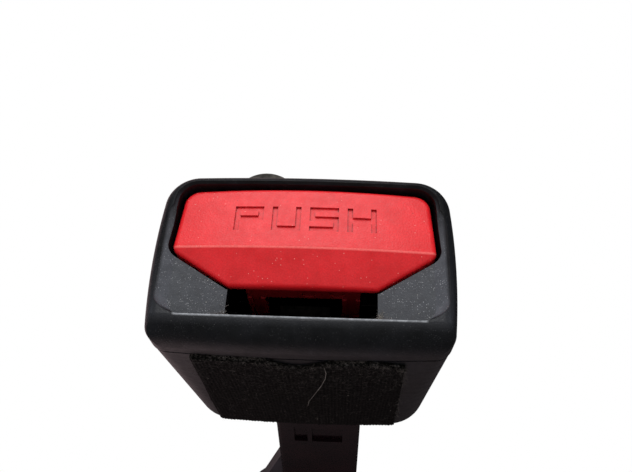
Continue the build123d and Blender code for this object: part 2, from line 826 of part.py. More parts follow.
def make_tongue_guides():
    """Two plastic rails on the base plate that steer the tongue and the ejector."""
    rail = block(guide_inner_x, flange_inner_x, plate_inner_y, ejector_back_y + guide_rise,
                 guide_bottom_z, frame_top_z)
    return mirrored_pair(rail)


def make_ejector():
    """Plastic slide that the tongue pushes down and that pushes it out again."""
    slide = block(-ejector_half_width, ejector_half_width, ejector_front_y, ejector_back_y,
                  ejector_bottom_z, ejector_top_z)
    ramp_half = nose_half_width + nose_window_clearance / 2
    ramp_low_z = ejector_top_z - ejector_ramp_length
    ramp_front_y = ejector_back_y - ejector_ramp_depth
    ramp = side_profile(
        [(ejector_back_y, ramp_low_z), (ramp_front_y, ejector_top_z), (ramp_front_y, ejector_top_z + 1),
         (ejector_back_y + 1, ejector_top_z + 1), (ejector_back_y + 1, ramp_low_z)],
        ramp_half,
    )
    slide -= ramp
    lug_back_y = spring_axis_y + ejector_spring_diameter / 2
    slide += block(-ejector_lug_half_width, ejector_lug_half_width, ejector_front_y, lug_back_y,
                   ejector_bottom_z, ejector_bottom_z + ejector_lug_length)
    peg = rod(spring_peg_diameter, (0, spring_axis_y, ejector_bottom_z - ejector_peg_length),
              (0, spring_axis_y, ejector_bottom_z))
    return slide + peg


def make_ejector_spring():
    """Compression spring between the ejector and its seat."""
    return upright_spring(0, spring_axis_y, seat_top_z, ejector_bottom_z, ejector_spring_diameter,
                          ejector_spring_wire, ejector_spring_turns)


def make_spring_seat():
    """Small plastic cap clipped over the end of the strap, with the spring's peg."""
    half = ejector_spring_diameter / 2 + seat_hook_wall
    back_y = spring_axis_y + ejector_spring_diameter / 2
    seat = block(-half, half, plate_inner_y, back_y, strap_top_z, seat_top_z)
    hook_back = max(back_y, strap_inner_y + seat_hook_wall)
    seat += block(-half, half, strap_inner_y, hook_back, strap_top_z - seat_hook_depth, seat_top_z)
    return seat + rod(spring_peg_diameter, (0, spring_axis_y, seat_top_z),
                      (0, spring_axis_y, seat_top_z + seat_peg_length))


def latch_point(forward, up):
    """Point of the locked latch, given from its pivot, as (y, z)."""
    return (pivot_y + forward, pivot_z + up)


def swung_back(piece):
    """The latch's piece turned from its locked position to rest."""
    return Pos(0, pivot_y, pivot_z) * Rot(-latch_swing_angle, 0, 0) * Pos(0, -pivot_y, -pivot_z) * piece


def make_latch():
    """Steel latch: plate, barrel on the pivot pin, nose for the tongue and hump for the lock bar."""
    half = latch_thickness / 2
    plate = side_profile(
        [latch_point(-half, 0), latch_point(half, 0), latch_point(half, latch_height),
         latch_point(-half, latch_height)],
        latch_half_width,
    )
    axis_start = (-latch_half_width, pivot_y, pivot_z)
    axis_end = (latch_half_width, pivot_y, pivot_z)
    latch = plate + rod(latch_barrel_diameter, axis_start, axis_end)
    bay_low = pivot_z - latch_barrel_diameter
    bay_high = pivot_z + latch_bay_height
    latch -= block(-latch_bay_half_width, latch_bay_half_width, -far, far, bay_low, bay_high)
    latch -= rod(pin_diameter + 2 * pin_clearance, (-far, pivot_y, pivot_z), (far, pivot_y, pivot_z))
    lead = (nose_high - nose_low) / 2
    latch += side_profile(
        [latch_point(-half, nose_low), latch_point(-nose_reach, nose_low),
         latch_point(-nose_reach, nose_high - lead), latch_point(-nose_reach + lead, nose_high),
         latch_point(-half, nose_high)],
        nose_half_width,
    )
    latch += side_profile(
        [latch_point(half, hump_low), latch_point(half + hump_rise, hump_shoulder),
         latch_point(half + hump_rise, nose_low), latch_point(half, nose_low + hump_lead)],
        hump_half_width,
    )
    return swung_back(latch)


def make_latch_pivot_pin():
    """Headed pin that the latch swings on, with a groove for its clip."""
    head_x = -frame_half_width - pin_head_thickness
    end_x = frame_half_width + pin_overhang
    pin = rod(pin_diameter, (-frame_half_width, pivot_y, pivot_z), (end_x, pivot_y, pivot_z))
    pin += rod(pin_head_diameter, (head_x, pivot_y, pivot_z), (-frame_half_width, pivot_y, pivot_z))
    groove_x = frame_half_width + clip_gap
    ring = rod(pin_diameter + 1, (groove_x, pivot_y, pivot_z), (groove_x + clip_thickness, pivot_y, pivot_z))
    ring -= rod(pin_diameter - 2 * clip_groove, (groove_x, pivot_y, pivot_z),
                (groove_x + clip_thickness, pivot_y, pivot_z))
    return pin - ring


def make_pin_clip():
    """Open retaining clip in the pin's groove."""
    play = rivet_clearance
    groove_x = frame_half_width + clip_gap
    start = (groove_x + play, pivot_y, pivot_z)
    end = (groove_x + clip_thickness - play, pivot_y, pivot_z)
    clip = rod(clip_diameter, start, end) - rod(pin_diameter - 2 * clip_groove + 2 * play, start, end)
    mouth = (pin_diameter - 2 * clip_groove) / 2
    return clip - block(0, far, pivot_y - mouth, pivot_y + mouth, pivot_z - far, pivot_z)


def make_latch_spring():
    """Torsion spring on the pivot pin: one arm on the base plate, one behind the latch."""
    radius = pin_diameter / 2 + latch_spring_gap + latch_spring_wire / 2
    turns = latch_spring_turns + (90 - latch_swing_angle) / 360
    length = turns * latch_spring_pitch
    start_x = latch_bay_half_width - latch_spring_wire - length
    winding = Plane(origin=(start_x, pivot_y, pivot_z), x_dir=(0, 0, -1), z_dir=(1, 0, 0))
    spring = winding.location * coil(radius, latch_spring_wire, turns, length)
    lowest = Vector(start_x, pivot_y, pivot_z - radius)
    foot = Vector(start_x, plate_inner_y + latch_spring_wire / 2, pivot_z - radius)
    lean = radians(latch_swing_angle)
    along = Vector(0, sin(lean), cos(lean))
    highest = Vector(start_x + length, pivot_y + radius * cos(lean), pivot_z - radius * sin(lean))
    tip = highest + along * latch_arm_length
    for bend, way, end in ((lowest, Vector(0, -1, 0), foot), (highest, along, tip)):
        spring += Pos(*bend) * Sphere(latch_bend_diameter / 2)
        spring += rod(latch_spring_wire, bend + way * latch_bend_gap, end)
    return spring


def make_lock_bar():
    """Steel bar behind the latch, carried in the slots of the button's legs."""
    half_length = leg_inner_x + leg_width + bar_end_overhang
    bar = block(-half_length, half_length, bar_front_y, bar_back_y, bar_rest_z, bar_rest_z + bar_height)
    return fillet(bar.edges().filter_by(Axis.X), bar_clearance)


def strap_layer(thickness, top_z, bottom_z):
    """Cranked sheet that follows the strap, of a given thickness and very wide."""
    bend = (strap_mid_y, strap_bend_z)
    low = (eye_y, strap_lean_end_z)
    start = (strap_mid_y, top_z)
    end = (eye_y, bottom_z)
    half = thickness / 2
    shift = half * tan(radians(strap_lean) / 2)
    outline = [
        (start[0] + half, start[1]), (bend[0] + half, bend[1] - shift), (low[0] + half, low[1] - shift),
        (end[0] + half, end[1]), (end[0] - half, end[1]), (low[0] - half, low[1] + shift),
        (bend[0] - half, bend[1] + shift), (start[0] - half, start[1]),
    ]
    return side_profile(outline, far / 2)


def strap_outline(half_width, top_z):
    """Front view of the strap: straight sides that flare to the round eye, as a deep prism."""
    left = strap_offset - half_width
    right = strap_offset + half_width
    reach = eye_radius * cos(radians(strap_flare_angle))
    drop = eye_radius * sin(radians(strap_flare_angle))
    band = front_profile(
        [(left, top_z), (right, top_z), (right, strap_flare_z), (eye_x + reach, eye_z + drop),
         (eye_x - reach, eye_z + drop), (left, strap_flare_z)],
        -far, far,
    )
    return band + rod(2 * eye_radius, (eye_x, -far, eye_z), (eye_x, far, eye_z))


def make_anchor_strap():
    """Steel strap from the frame down to the eye for the anchor bolt."""
    strap = strap_layer(strap_thickness, strap_top_z, eye_z - 2 * eye_radius)
    strap = strap & strap_outline(strap_width / 2, strap_top_z)
    strap -= rod(bolt_hole_diameter, (eye_x, -far, eye_z), (eye_x, far, eye_z))
    for x in rivet_places():
        strap -= rod(rivet_diameter + 2 * rivet_clearance, (x, -far, rivet_z), (x, far, rivet_z))
    return strap


def make_strap_sleeve():
    """Glossy plastic sleeve round the strap, which goes on below as a flap in front of it."""
    top_z = base_z + floor_thickness / 2
    outer = strap_layer(strap_thickness + 2 * sleeve_wall, top_z, eye_z)
    left = strap_offset - sleeve_half_width
    right = strap_offset + sleeve_half_width
    outer = outer & block(left, right, -far, far, sleeve_flap_z, top_z)
    corners = [
        e for e in outer.edges()
        if abs(abs(e.center().X - strap_offset) - sleeve_half_width) < 0.01 and abs(e.tangent_at(0.5).Z) > 0.5
    ]
    outer = fillet(corners, sleeve_edge_round)
    tube = outer & block(left, right, -far, far, sleeve_step_z, top_z)
    flap = outer & block(left, right, -far, far, sleeve_flap_z, sleeve_step_z)
    room = strap_layer(strap_thickness + 2 * sleeve_clearance, strap_top_z, eye_z - 2 * eye_radius)
    outer_thickness = strap_thickness + 2 * sleeve_wall
    behind = Pos(0, sleeve_wall + 1, 0) * strap_layer(outer_thickness + 2, strap_top_z, eye_z)
    flap -= behind & block(-far, far, -far, far, sleeve_flap_z - 1, sleeve_step_z)
    inner_half = strap_width / 2 + sleeve_clearance
    tube -= room & block(strap_offset - inner_half, strap_offset + inner_half, -far, far, -far, far)
    sleeve = tube + flap
    floor_layer = strap_layer(outer_thickness - 2 * sleeve_window_depth, strap_top_z, eye_z)
    in_front = Pos(0, -far / 2, 0) * strap_layer(far, strap_top_z, eye_z)
    window_bottom_z = sleeve_step_z + sleeve_window_rise
    window_top_z = window_bottom_z + sleeve_window_height
    for side in (-1, 1):
        near = strap_offset - sleeve_rib_shift + side * sleeve_rib_width / 2
        edge = strap_offset + side * (sleeve_half_width - sleeve_window_margin)
        pocket = block(min(near, edge), max(near, edge), -far, far, window_bottom_z, window_top_z)
        sleeve -= (pocket & in_front) - floor_layer
    return sleeve


PIECES = {
    "bezel_cap": make_bezel_cap,
    "front_shell": make_front_shell,
    "back_shell": make_back_shell,
    "shell_screws": make_shell_screws,
    "felt_patch": make_felt_patch,
    "rear_pad": make_rear_pad,
    "release_button": make_release_button,
    "button_springs": make_button_springs,
    "lock_bar": make_lock_bar,
    "latch": make_latch,
    "latch_pivot_pin": make_latch_pivot_pin,
    "pin_clip": make_pin_clip,
    "latch_spring": make_latch_spring,
    "ejector": make_ejector,
    "ejector_spring": make_ejector_spring,
    "spring_seat": make_spring_seat,
    "tongue_guides": make_tongue_guides,
    "buckle_frame": make_buckle_frame,
    "frame_rivets": make_frame_rivets,
    "anchor_strap": make_anchor_strap,
    "strap_sleeve": make_strap_sleeve,
}

os.makedirs("parts", exist_ok=True)
to_anchor = Pos(-eye_x, -eye_y, -eye_z)
for node, make in PIECES.items():
    export_step(to_anchor * make(), f"parts/{node}.step")
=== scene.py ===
# Looks of a seat belt buckle: finishes, felt patch, dust and lint, springs, light and camera.
import math
import random

import bmesh
import bpy
from mathutils import Euler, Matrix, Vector, noise
from mathutils.bvhtree import BVHTree


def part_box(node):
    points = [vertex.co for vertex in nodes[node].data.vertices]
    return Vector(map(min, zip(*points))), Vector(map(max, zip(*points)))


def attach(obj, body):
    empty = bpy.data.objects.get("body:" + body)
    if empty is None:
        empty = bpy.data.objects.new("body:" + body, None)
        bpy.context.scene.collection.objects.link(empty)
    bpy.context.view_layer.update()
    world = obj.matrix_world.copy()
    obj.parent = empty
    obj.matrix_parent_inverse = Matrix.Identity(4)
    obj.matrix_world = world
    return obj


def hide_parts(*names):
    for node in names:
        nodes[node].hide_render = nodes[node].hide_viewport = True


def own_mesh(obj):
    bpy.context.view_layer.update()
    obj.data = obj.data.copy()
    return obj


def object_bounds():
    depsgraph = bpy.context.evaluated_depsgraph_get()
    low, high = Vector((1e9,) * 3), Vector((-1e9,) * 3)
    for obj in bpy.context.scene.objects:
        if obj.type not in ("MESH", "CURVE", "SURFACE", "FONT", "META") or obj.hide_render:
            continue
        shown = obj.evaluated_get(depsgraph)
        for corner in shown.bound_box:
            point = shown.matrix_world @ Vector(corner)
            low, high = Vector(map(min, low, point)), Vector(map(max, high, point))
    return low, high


MM = 0.001

# Camera, as the photograph was taken
CAMERA_PLACE = Vector((9.685, -35.478, 213.019)) * MM
CAMERA_TURN = (30.2535, 1.4084, 2.548)
CAMERA_LENS = 36.927
SENSOR_WIDTH = 36.0

# Floor, lamp and room
FLOOR_DROP = 45 * MM
FLOOR_SIZE = 1.6
# Reach of the floor's painted reflection tint to each side, and of its painted shadow around the buckle
FLOOR_FADE = 0.12
FLOOR_SHADE = 55 * MM
KEY_PLACE = Vector((-30, 330, 430)) * MM
KEY_AIM = Vector((0, 0.016, 0.1))
KEY_SIZE = 0.3
KEY_POWER = 1.2
ROOM_OVERHEAD = 1.3
ROOM_LOW = 0.5
ROOM_GLOSS = 0.05

# Bezel cap: a reach is measured from its middle, a back from its front and a drop from its top
CHEEK_REACH = 25.3 * MM
CHEEK_BACK = 17.8 * MM
RIM_BACK = 30.0 * MM
RIM_EDGE_BACK = 5.2 * MM
WEAR_HIGHLIGHT_REACH = 21.5 * MM
LEDGE_DROP = 3.9 * MM
LEDGE_BACK = 6.5 * MM
DUST_SHEEN_DROP = 6.5 * MM

# How far a face looks up, as its normal's z: where dust and a painted sheen begin to lie, then where the
# rim's slope, which is painted lighter, gives way to the cheek
DUST_SHEEN_FROM = 0.45
DUST_SHEEN_FULL = 0.62
SLOPE_FULL = 0.78
SLOPE_END = 0.92

# Release button: the crease's painted highlight from its front and the skirt's painted shade from its top
CREASE_BACK = 6.1 * MM
SKIRT_DROP = 5.5 * MM

# Felt patch
FELT_THICKNESS = 0.9 * MM
FELT_RIB = 0.7 * MM
FELT_STITCH = 0.55 * MM
FELT_STEP_ACROSS = 0.175 * MM
FELT_STEP_DOWN = 0.3 * MM
FELT_RELIEF = 0.14 * MM
FELT_INSET = 0.15 * MM
FELT_FLARE = 1.4 * MM
FELT_LIFT = 0.02 * MM

# Fibres
FUZZ_COUNT = 1500
FRINGE_COUNT = 900
CORNER_COUNT = 160
CLUMP_COUNT = 160
FUZZ_WIDTH = 0.035 * MM

# Fallen hairs in millimetres from the bolt hole: one across and up the felt, two across and along the rim
FELT_HAIR = ((6.8, 105.5), (7.1, 102.2), (6.9, 98.7), (6.0, 93.7), (4.6, 87.7), (3.4, 82.7), (3.0, 78.7))
RIM_HAIRS = (
    ((8.3, 34.1), (8.6, 33.3), (8.5, 32.5), (8.9, 31.9)),
    ((-21.3, 24.7), (-20.9, 23.9), (-20.2, 23.4)),
)

# Lint at the slot's two front corners, in millimetres from the bolt hole: each corner's side and its place
# across, and how far along both lie
SLOT_CORNERS = ((-1, -9.9), (1, 15.9))
SLOT_FRONT = 8.4

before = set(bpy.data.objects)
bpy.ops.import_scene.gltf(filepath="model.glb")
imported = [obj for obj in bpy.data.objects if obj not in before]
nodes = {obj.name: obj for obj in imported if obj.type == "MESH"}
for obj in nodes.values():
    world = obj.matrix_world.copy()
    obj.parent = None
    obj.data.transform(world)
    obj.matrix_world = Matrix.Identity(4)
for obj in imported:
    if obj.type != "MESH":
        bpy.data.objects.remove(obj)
cad_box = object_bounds()

rim_low, rim_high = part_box("bezel_cap")
button_low, button_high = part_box("release_button")
felt_low, felt_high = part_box("felt_patch")


def linear(code):
    """sRGB hex code to a linear colour."""
    parts = [int(code[i:i + 2], 16) / 255 for i in (1, 3, 5)]
    return [c / 12.92 if c <= 0.04045 else ((c + 0.055) / 1.055) ** 2.4 for c in parts] + [1.0]


def add(tree, kind, settings=(), links=()):
    """One shader node with its settings and links."""
    node = tree.nodes.new("ShaderNode" + kind)
    for name, value in dict(settings).items():
        if isinstance(name, int) or name in node.inputs:
            node.inputs[name].default_value = value
        else:
            setattr(node, name, value)
    for name, socket in dict(links).items():
        tree.links.new(socket, node.inputs[name])
    return node


def new_material(name, roughness, ior=1.5, metallic=0.0, gloss=0.5):
    """Material with its shader and an object coordinate to draw patterns from."""
    material = bpy.data.materials.new(name)
    material.use_nodes = True
    tree = material.node_tree
    shader = tree.nodes["Principled BSDF"]
    shader.inputs["Roughness"].default_value = roughness
    shader.inputs["IOR"].default_value = ior
    shader.inputs["Metallic"].default_value = metallic
    shader.inputs["Specular IOR Level"].default_value = gloss
    place = add(tree, "TexCoord").outputs["Object"]
    return material, tree, shader, place


def cloud(tree, place, size, detail=3.0, low=0.35, high=0.65):
    """Soft noise of a given size, from 0 to 1."""
    field = add(tree, "TexNoise", {"Scale": 1 / size, "Detail": detail}, {"Vector": place})
    return add(tree, "MapRange", {1: low, 2: high}, {0: field.outputs["Fac"]}).outputs[0]


def specks(tree, place, spacing, radius, share):
    """Small dots on a share of the cells of a pattern, from 0 to 1."""
    cells = add(tree, "TexVoronoi", {"Scale": 1 / spacing}, {"Vector": place})
    dot = ramp(tree, cells.outputs["Distance"], radius, radius * 0.5)
    pick = add(tree, "SeparateColor", links={0: cells.outputs["Color"]})
    chosen = add(tree, "Math", {"operation": "LESS_THAN", 1: share}, {0: pick.outputs[0]})
    return scaled(tree, dot, chosen.outputs[0])


def mixed(tree, factor, first, second):
    """Blend of two colours; each is a colour or a socket."""
    node = add(tree, "Mix", {"data_type": "RGBA"})
    for index, value in ((0, factor), (6, first), (7, second)):
        if isinstance(value, bpy.types.NodeSocket):
            tree.links.new(value, node.inputs[index])
        else:
            node.inputs[index].default_value = value
    return node.outputs[2]


def scaled(tree, value, factor):
    """A value times another value or a number."""
    node = add(tree, "Math", {"operation": "MULTIPLY"}, {0: value})
    if isinstance(factor, bpy.types.NodeSocket):
        tree.links.new(factor, node.inputs[1])
    else:
        node.inputs[1].default_value = factor
    return node.outputs[0]


def ramp(tree, value, start, end, low=0.0, high=1.0):
    """Value moved from one range to another and held there."""
    return add(tree, "MapRange", {1: start, 2: end, 3: low, 4: high}, {0: value}).outputs[0]


def band(tree, value, low, high):
    """1 between two limits, with soft ends of half a millimetre."""
    soft = 0.5 * MM
    return scaled(tree, ramp(tree, value, low, low + soft), ramp(tree, value, high, high - soft))


def hump(tree, value, middle, half):
    """1 where the value is in the middle, falling to 0 at a distance of half."""
    away = add(tree, "Math", {"operation": "SUBTRACT", 1: middle}, {0: value})
    away = add(tree, "Math", {"operation": "ABSOLUTE"}, {0: away.outputs[0]})
    return ramp(tree, away.outputs[0], half, half * 0.3)


def recess(tree, reach):
    """1 in corners and grooves, falling to 0 on open faces."""
    shade = add(tree, "AmbientOcclusion", {"Distance": reach, "samples": 6})
    return ramp(tree, shade.outputs["AO"], 0.8, 0.35)


def bumped(tree, shader, height, depth, strength=1.0):
    """Relief of a given depth in metres."""
    bump = add(tree, "Bump", {"Strength": strength, "Distance": depth}, {"Height": height})
    tree.links.new(bump.outputs[0], shader.inputs["Normal"])


def across_cap(tree, axes, reach):
    """1 within a reach to each side of the bezel cap's middle."""
    middle_x = (rim_low.x + rim_high.x) / 2
    return band(tree, axes[0], middle_x - reach, middle_x + reach)


def dust_and_sheen(tree, place, axes, up):
    """Dust and a painted sheen on the cheeks and on the rim's inner slope, from 0 to 1."""
    edge_y = rim_low.y + RIM_EDGE_BACK
    dust_sheen = scaled(tree, ramp(tree, up, DUST_SHEEN_FROM, DUST_SHEEN_FULL), across_cap(tree, axes, CHEEK_REACH))
    dust_sheen = scaled(tree, dust_sheen, ramp(tree, axes[1], rim_low.y + RIM_BACK, rim_low.y + CHEEK_BACK))
    dust_sheen = scaled(tree, dust_sheen, ramp(tree, axes[1], edge_y - 0.3 * MM, edge_y))
    dust_sheen = scaled(tree, dust_sheen, ramp(tree, axes[2], rim_high.z - 0.1 * MM, rim_high.z - 0.4 * MM))
    dust_sheen = scaled(tree, dust_sheen, ramp(tree, axes[2], rim_high.z - DUST_SHEEN_DROP, rim_high.z - DUST_SHEEN_DROP + 0.5 * MM))
    return scaled(tree, dust_sheen, ramp(tree, cloud(tree, place, 1.4 * MM, 4.0), 0, 1, 0.75, 1.0))


def ledge_dust(tree, axes, dust_sheen):
    """Thicker brown dust where the cheeks end at the ledge before the slot, from 0 to 1."""
    ledge_y = rim_low.y + LEDGE_BACK
    ledge = scaled(tree, dust_sheen, ramp(tree, axes[2], rim_high.z - LEDGE_DROP * 0.9, rim_high.z - LEDGE_DROP))
    return scaled(tree, ledge, ramp(tree, axes[1], ledge_y + 0.8 * MM, ledge_y))


def housing_abs():
    """Moulded black ABS with a spark-eroded grain, dust and a painted sheen on its cheeks, painted light on
    the rim's inner slope, a painted sheen on the front roll, and wear with a painted highlight on its edge.
    """
    material, tree, shader, place = new_material("housing_abs", 0.45, 1.5, gloss=0.4)
    axes = add(tree, "SeparateXYZ", links={0: place}).outputs
    up = add(tree, "SeparateXYZ", links={0: add(tree, "TexCoord").outputs["Normal"]}).outputs[2]
    dust_sheen = dust_and_sheen(tree, place, axes, up)
    ledge = ledge_dust(tree, axes, dust_sheen)
    shade = mixed(tree, cloud(tree, place, 6 * MM), linear("#0b0d10"), linear("#121419"))
    # Dust and painted sheen: the up-facing cheeks and slope are turned a lighter grey
    shade = mixed(tree, dust_sheen, shade, linear("#393c42"))
    # Painted light: the rim's inner slope is lifted to a lighter grey, as if it caught more light
    slope = scaled(tree, dust_sheen, ramp(tree, up, SLOPE_END, SLOPE_FULL))
    shade = mixed(tree, scaled(tree, slope, 0.75), shade, linear("#53565d"))
    grain = scaled(tree, specks(tree, place, 0.3 * MM, 0.3, 0.55), cloud(tree, place, 2.2 * MM))
    grain = scaled(tree, grain, ramp(tree, dust_sheen, 0, 1, 0.08, 1.0))
    shade = mixed(tree, scaled(tree, grain, 0.95), shade, linear("#97989c"))
    shade = mixed(tree, scaled(tree, ledge, 0.55), shade, linear("#5b4c4a"))
    near_top = ramp(tree, axes[2], rim_high.z - 1.0 * MM, rim_high.z - 0.5 * MM)
    edge_y = rim_low.y + RIM_EDGE_BACK
    # Painted sheen: a faint lighter gradient on the front roll just before its inner edge
    roll_sheen = ramp(tree, axes[1], edge_y - 2 * MM, edge_y)
    roll_sheen = scaled(tree, roll_sheen, ramp(tree, axes[1], rim_low.y + CHEEK_BACK, edge_y + 1 * MM))
    shade = mixed(tree, scaled(tree, scaled(tree, roll_sheen, near_top), 0.4), shade, linear("#33353b"))
    # Wear and a painted highlight: a pale line along the front roll's inner edge
    wear_and_highlight = scaled(tree, hump(tree, axes[1], edge_y, 0.5 * MM), near_top)
    wear_and_highlight = scaled(tree, wear_and_highlight, across_cap(tree, axes, WEAR_HIGHLIGHT_REACH))
    wear_and_highlight = scaled(tree, wear_and_highlight, ramp(tree, cloud(tree, place, 0.8 * MM, 4.0), 0, 1, 0.5, 1.0))
    shade = mixed(tree, scaled(tree, wear_and_highlight, 0.85), shade, linear("#a0a3a9"))
    rare = scaled(tree, specks(tree, place, 0.9 * MM, 0.1, 0.4), ramp(tree, dust_sheen, 0, 0.8, 0.15, 1.0))
    shade = mixed(tree, scaled(tree, rare, 0.7), shade, linear("#b9b6ae"))
    tree.links.new(shade, shader.inputs["Base Color"])
    rough = ramp(tree, cloud(tree, place, 1.5 * MM), 0, 1, 0.4, 0.5)
    rough = add(tree, "Math", {"operation": "ADD"}, {0: rough, 1: scaled(tree, dust_sheen, 0.12)}).outputs[0]
    tree.links.new(rough, shader.inputs["Roughness"])
    bumped(tree, shader, cloud(tree, place, 0.3 * MM, 2.0), 0.02 * MM, 0.6)
    return material


def button_abs():
    """Moulded red ABS with a satin grain: a painted highlight along the crease, grime and painted shade in
    the letters and grooves, and painted shade on the skirt.
    """
    material, tree, shader, place = new_material("button_abs", 0.36, 1.5, gloss=0.3)
    axes = add(tree, "SeparateXYZ", links={0: place}).outputs
    shade = mixed(tree, cloud(tree, place, 4 * MM), linear("#cc1a20"), linear("#d92027"))
    # Painted highlight: a pale pink line along the crease
    crease = hump(tree, axes[1], button_low.y + CREASE_BACK, 0.3 * MM)
    crease = scaled(tree, crease, ramp(tree, axes[2], button_high.z - 2 * MM, button_high.z - 1 * MM))
    shade = mixed(tree, scaled(tree, crease, 0.4), shade, linear("#f58a84"))
    shade = mixed(tree, scaled(tree, cloud(tree, place, 0.28 * MM, 2.0), 0.22), shade, linear("#8c1217"))
    pale = scaled(tree, specks(tree, place, 0.8 * MM, 0.12, 0.35), 0.6)
    dark = scaled(tree, specks(tree, place, 1.3 * MM, 0.09, 0.3), 0.7)
    shade = mixed(tree, pale, shade, linear("#f0aaa0"))
    shade = mixed(tree, dark, shade, linear("#6a1418"))
    # Grime and painted shade: darker red where ambient occlusion finds letters, grooves and corners
    grime_and_shade = scaled(tree, recess(tree, 0.6 * MM), cloud(tree, place, 0.7 * MM, 4.0, 0.2, 0.6))
    shade = mixed(tree, scaled(tree, grime_and_shade, 0.8), shade, linear("#4d1114"))
    # Painted shade: the skirt below the bevel, down in the slot, is turned dark red
    skirt = ramp(tree, axes[2], button_high.z - SKIRT_DROP * 0.8, button_high.z - SKIRT_DROP)
    shade = mixed(tree, skirt, shade, linear("#6a0d12"))
    tree.links.new(shade, shader.inputs["Base Color"])
    tree.links.new(ramp(tree, cloud(tree, place, 1.2 * MM), 0, 1, 0.3, 0.4), shader.inputs["Roughness"])
    bumped(tree, shader, cloud(tree, place, 0.35 * MM, 2.0), 0.02 * MM, 0.5)
    return material


def knit_felt():
    """Black polyester loop knit, matt, darker between its ribs and grey where it is worn."""
    material, tree, shader, place = new_material("knit_felt", 0.95, 1.5, gloss=0.15)
    axes = add(tree, "SeparateXYZ", links={0: place}).outputs
    wave = add(tree, "Math", {"operation": "COSINE"}, {0: scaled(tree, axes[0], 2 * math.pi / FELT_RIB)})
    rib = ramp(tree, wave.outputs[0], -0.6, 0.8)
    loops = scaled(tree, rib, cloud(tree, place, 0.35 * MM, 2.0, 0.4, 0.6))
    shade = mixed(tree, loops, linear("#030302"), linear("#13110e"))
    high = ramp(tree, axes[2], felt_high.z - 22 * MM, felt_high.z, 0.25, 1.0)
    lint = scaled(tree, cloud(tree, place, 0.45 * MM, 4.0, 0.55, 0.72), high)
    shade = mixed(tree, scaled(tree, lint, 0.45), shade, linear("#5f5a59"))
    rare = scaled(tree, specks(tree, place, 2.2 * MM, 0.08, 0.3), 0.6)
    tree.links.new(mixed(tree, rare, shade, linear("#8c857f")), shader.inputs["Base Color"])
    return material


def lint_fibre():
    """Loose pale polyester fibres, matt."""
    material, tree, shader, place = new_material("lint_fibre", 0.8, 1.5, gloss=0.2)
    shade = mixed(tree, cloud(tree, place, 1.5 * MM), linear("#24201e"), linear("#57514e"))
    tree.links.new(shade, shader.inputs["Base Color"])
    return material


def pale_hair():
    """Single fallen hairs, pale."""
    material, tree, shader, place = new_material("pale_hair", 0.6, 1.5, gloss=0.3)
    shade = mixed(tree, cloud(tree, place, 3 * MM), linear("#6f6a66"), linear("#9a948e"))
    tree.links.new(shade, shader.inputs["Base Color"])
    return material


def pad_rubber():
    """Matt rubber under a grey-brown layer of dust."""
    material, tree, shader, place = new_material("pad_rubber", 0.9, 1.52, gloss=0.2)
    shade = mixed(tree, cloud(tree, place, 2 * MM), linear("#2a2826"), linear("#504c47"))
    tree.links.new(shade, shader.inputs["Base Color"])
    bumped(tree, shader, cloud(tree, place, 0.4 * MM), 0.03 * MM)
    return material


def inner_acetal():
    """Black acetal, as moulded, with faint flow marks."""
    material, tree, shader, place = new_material("inner_acetal", 0.5, 1.48, gloss=0.3)
    shade = mixed(tree, cloud(tree, place, 3 * MM), linear("#0c0a0b"), linear("#151314"))
    tree.links.new(shade, shader.inputs["Base Color"])
    return material


def sleeve_polypropylene():
    """Glossy black polypropylene with a maroon cast."""
    material, tree, shader, place = new_material("sleeve_polypropylene", 0.22, 1.49, gloss=0.1)
    shade = mixed(tree, cloud(tree, place, 9 * MM), linear("#0a0406"), linear("#130709"))
    tree.links.new(shade, shader.inputs["Base Color"])
    tree.links.new(ramp(tree, cloud(tree, place, 1 * MM), 0, 1, 0.18, 0.3), shader.inputs["Roughness"])
    return material


def plated_steel(name, colour, dark, roughness, size):
    """Steel under a thin coat, which clouds its grey and its gloss."""
    material, tree, shader, place = new_material(name, roughness, metallic=1.0)
    shade = mixed(tree, cloud(tree, place, size), linear(colour), linear(dark))
    tree.links.new(shade, shader.inputs["Base Color"])
    tree.links.new(ramp(tree, cloud(tree, place, size / 3), 0, 1, roughness - 0.06, roughness + 0.1),
                   shader.inputs["Roughness"])
    bumped(tree, shader, cloud(tree, place, 0.25 * MM), 0.01 * MM)
    return material


def strap_coat():
    """Dark electrocoat on steel, satin with fine pits."""
    material, tree, shader, place = new_material("strap_coat", 0.4, 1.55, gloss=0.25)
    shade = mixed(tree, cloud(tree, place, 5 * MM), linear("#1a181c"), linear("#26232a"))
    tree.links.new(shade, shader.inputs["Base Color"])
    bumped(tree, shader, cloud(tree, place, 0.35 * MM), 0.02 * MM)
    return material


def flat_place(tree, place):
    """Place on the floor, measured from under the bolt hole."""
    return add(tree, "VectorMath", {"operation": "MULTIPLY", 1: (1, 1, 0)}, {0: place}).outputs[0]


